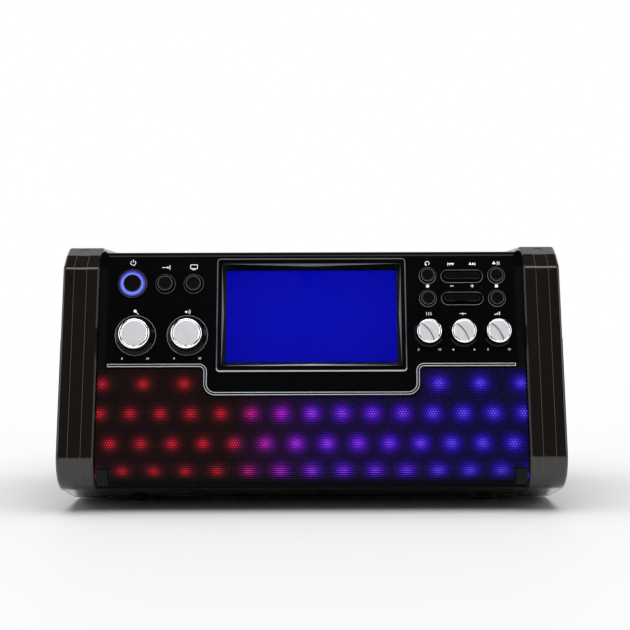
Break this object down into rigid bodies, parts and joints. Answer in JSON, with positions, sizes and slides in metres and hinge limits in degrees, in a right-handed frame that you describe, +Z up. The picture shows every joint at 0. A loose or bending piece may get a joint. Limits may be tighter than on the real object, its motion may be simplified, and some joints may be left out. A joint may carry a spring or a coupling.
{
  "type": "karaoke machine",
  "caption": "Desktop karaoke player with a sloping front, display, chrome knobs, lit speaker grille, tablet slot and a top-loading disc well.",
  "frame": {"origin": "middle of the rectangle that the machine stands in, at table height", "axes": "+X to the right seen from the front, +Y to the back, +Z up"},
  "size_m": [0.324, 0.212, 0.1713],
  "materials": {
    "gloss_black": "moulded gloss",
    "panel_black": "moulded gloss",
    "inlay_black": "gloss strip",
    "body_black": "fine texture",
    "inner_black": "moulded",
    "grille_black": "perforated and painted",
    "window": "clear window",
    "display_blue": "lit screen",
    "soft_black": "moulded rubber",
    "knob_black": "moulded gloss",
    "knob_chrome": "plated",
    "button_black": "satin",
    "ring_blue": "lit diffuser",
    "board_green": "circuit board",
    "part_grey": "stamped metal",
    "steel": "ground",
    "led_lens": "lit lamp",
    "cone_paper": "pressed paper",
    "gear_white": "moulded acetal"
  },
  "bodies": {
    "housing": {"end_cap_right": "gloss_black", "end_cap_left": "gloss_black", "cap_inlays": "inlay_black", "base_tub": "gloss_black", "feet": "soft_black", "top_deck": "body_black", "lid_hinge_pins": "steel", "rear_cover": "body_black", "mic_jacks": "inner_black", "rca_jacks": "inner_black", "usb_port": "part_grey", "dc_jack": "inner_black", "main_board": "board_green", "front_frame": "body_black", "fascia": "panel_black", "grille": "grille_black", "screen_window": "window", "display_module": "display_blue", "tablet_pad": "soft_black", "potentiometers": "part_grey", "power_ring": "ring_blue", "control_boards": "board_green", "led_strips": "board_green", "leds": "led_lens", "speaker_drivers": "part_grey", "speaker_cones": "cone_paper", "disc_tray": "body_black", "mechanism_chassis": "part_grey", "mechanism_grommets": "soft_black", "spindle_motor": "part_grey", "sled_rods": "steel", "sled_motor": "part_grey", "screws": "steel"},
    "mic_volume": {"mic_volume_knob": "knob_black", "mic_volume_cap": "knob_chrome"},
    "master_volume": {"master_volume_knob": "knob_black", "master_volume_cap": "knob_chrome"},
    "echo": {"echo_knob": "knob_black", "echo_cap": "knob_chrome"},
    "balance": {"balance_knob": "knob_black", "balance_cap": "knob_chrome"},
    "avc": {"avc_knob": "knob_black", "avc_cap": "knob_chrome"},
    "power_push": {"power_button": "button_black"},
    "function_push": {"function_button": "button_black"},
    "screen_push": {"screen_button": "button_black"},
    "program_push": {"program_button": "button_black"},
    "play_push": {"play_button": "button_black"},
    "record_push": {"record_button": "button_black"},
    "stop_push": {"stop_button": "button_black"},
    "skip_back_push": {"skip_back_key": "button_black"},
    "skip_forward_push": {"skip_forward_key": "button_black"},
    "key_down_push": {"key_down_key": "button_black"},
    "key_up_push": {"key_up_key": "button_black"},
    "lid": {"disc_lid": "gloss_black"},
    "spindle": {"spindle_hub": "inner_black"},
    "sled": {"pickup_sled": "inner_black"},
    "reduction_gear": {"sled_gear": "gear_white"},
    "motor_gear": {"motor_pinion": "gear_white"}
  },
  "joints": [
    {"name": "mic_volume_turn", "type": "hinge", "parent": "housing", "child": "mic_volume", "pos_m": [-0.114, -0.08553, 0.11303], "axis": [0, -0.9744, 0.225], "range_deg": [-150, 150]},
    {"name": "master_volume_turn", "type": "hinge", "parent": "housing", "child": "master_volume", "pos_m": [-0.0804, -0.08553, 0.11303], "axis": [0, -0.9744, 0.225], "range_deg": [-150, 150]},
    {"name": "echo_turn", "type": "hinge", "parent": "housing", "child": "echo", "pos_m": [0.0759, -0.08521, 0.11439], "axis": [0, -0.9744, 0.225], "range_deg": [-150, 150]},
    {"name": "balance_turn", "type": "hinge", "parent": "housing", "child": "balance", "pos_m": [0.0983, -0.08521, 0.11439], "axis": [0, -0.9744, 0.225], "range_deg": [-150, 150]},
    {"name": "avc_turn", "type": "hinge", "parent": "housing", "child": "avc", "pos_m": [0.1207, -0.08521, 0.11439], "axis": [0, -0.9744, 0.225], "range_deg": [-150, 150]},
    {"name": "power_button_press", "type": "slide", "parent": "housing", "child": "power_push", "axis": [0, 0.9744, -0.225], "range_m": [0, 0.0012], "stiffness_N_per_m": 1000, "springref_m": -0.0004},
    {"name": "function_button_press", "type": "slide", "parent": "housing", "child": "function_push", "axis": [0, 0.9744, -0.225], "range_m": [0, 0.0012], "stiffness_N_per_m": 1000, "springref_m": -0.0004},
    {"name": "screen_button_press", "type": "slide", "parent": "housing", "child": "screen_push", "axis": [0, 0.9744, -0.225], "range_m": [0, 0.0012], "stiffness_N_per_m": 1000, "springref_m": -0.0004},
    {"name": "program_button_press", "type": "slide", "parent": "housing", "child": "program_push", "axis": [0, 0.9744, -0.225], "range_m": [0, 0.0012], "stiffness_N_per_m": 1000, "springref_m": -0.0004},
    {"name": "play_button_press", "type": "slide", "parent": "housing", "child": "play_push", "axis": [0, 0.9744, -0.225], "range_m": [0, 0.0012], "stiffness_N_per_m": 1000, "springref_m": -0.0004},
    {"name": "record_button_press", "type": "slide", "parent": "housing", "child": "record_push", "axis": [0, 0.9744, -0.225], "range_m": [0, 0.0012], "stiffness_N_per_m": 1000, "springref_m": -0.0004},
    {"name": "stop_button_press", "type": "slide", "parent": "housing", "child": "stop_push", "axis": [0, 0.9744, -0.225], "range_m": [0, 0.0012], "stiffness_N_per_m": 1000, "springref_m": -0.0004},
    {"name": "skip_back_key_press", "type": "slide", "parent": "housing", "child": "skip_back_push", "axis": [0, 0.9744, -0.225], "range_m": [0, 0.0012], "stiffness_N_per_m": 1000, "springref_m": -0.0004},
    {"name": "skip_forward_key_press", "type": "slide", "parent": "housing", "child": "skip_forward_push", "axis": [0, 0.9744, -0.225], "range_m": [0, 0.0012], "stiffness_N_per_m": 1000, "springref_m": -0.0004},
    {"name": "key_down_key_press", "type": "slide", "parent": "housing", "child": "key_down_push", "axis": [0, 0.9744, -0.225], "range_m": [0, 0.0012], "stiffness_N_per_m": 1000, "springref_m": -0.0004},
    {"name": "key_up_key_press", "type": "slide", "parent": "housing", "child": "key_up_push", "axis": [0, 0.9744, -0.225], "range_m": [0, 0.0012], "stiffness_N_per_m": 1000, "springref_m": -0.0004},
    {"name": "lid_hinge", "type": "hinge", "parent": "housing", "child": "lid", "pos_m": [0, 0.08552, 0.1644], "axis": [-1, 0, 0], "range_deg": [0, 78]},
    {"name": "spindle_spin", "type": "hinge", "parent": "housing", "child": "spindle", "pos_m": [0, 0.02152, 0.1545], "axis": [0, 0, 1], "continuous": true},
    {"name": "sled_slide", "type": "slide", "parent": "housing", "child": "sled", "axis": [0, -1, 0], "range_m": [0, 0.031]},
    {"name": "gear_turn", "type": "hinge", "parent": "housing", "child": "reduction_gear", "pos_m": [0.03, -0.01798, 0.1411], "axis": [0, 0, 1], "range_deg": [-5, 428]},
    {"name": "motor_turn", "type": "hinge", "parent": "housing", "child": "motor_gear", "pos_m": [0.03, -0.00748, 0.1411], "axis": [0, 0, 1], "range_deg": [-1363, 10]}
  ],
  "couplings": [
    {"joint": "gear_turn", "follows": "sled_slide", "rad_per_m": 238.1},
    {"joint": "motor_turn", "follows": "sled_slide", "rad_per_m": -761.9}
  ]
}
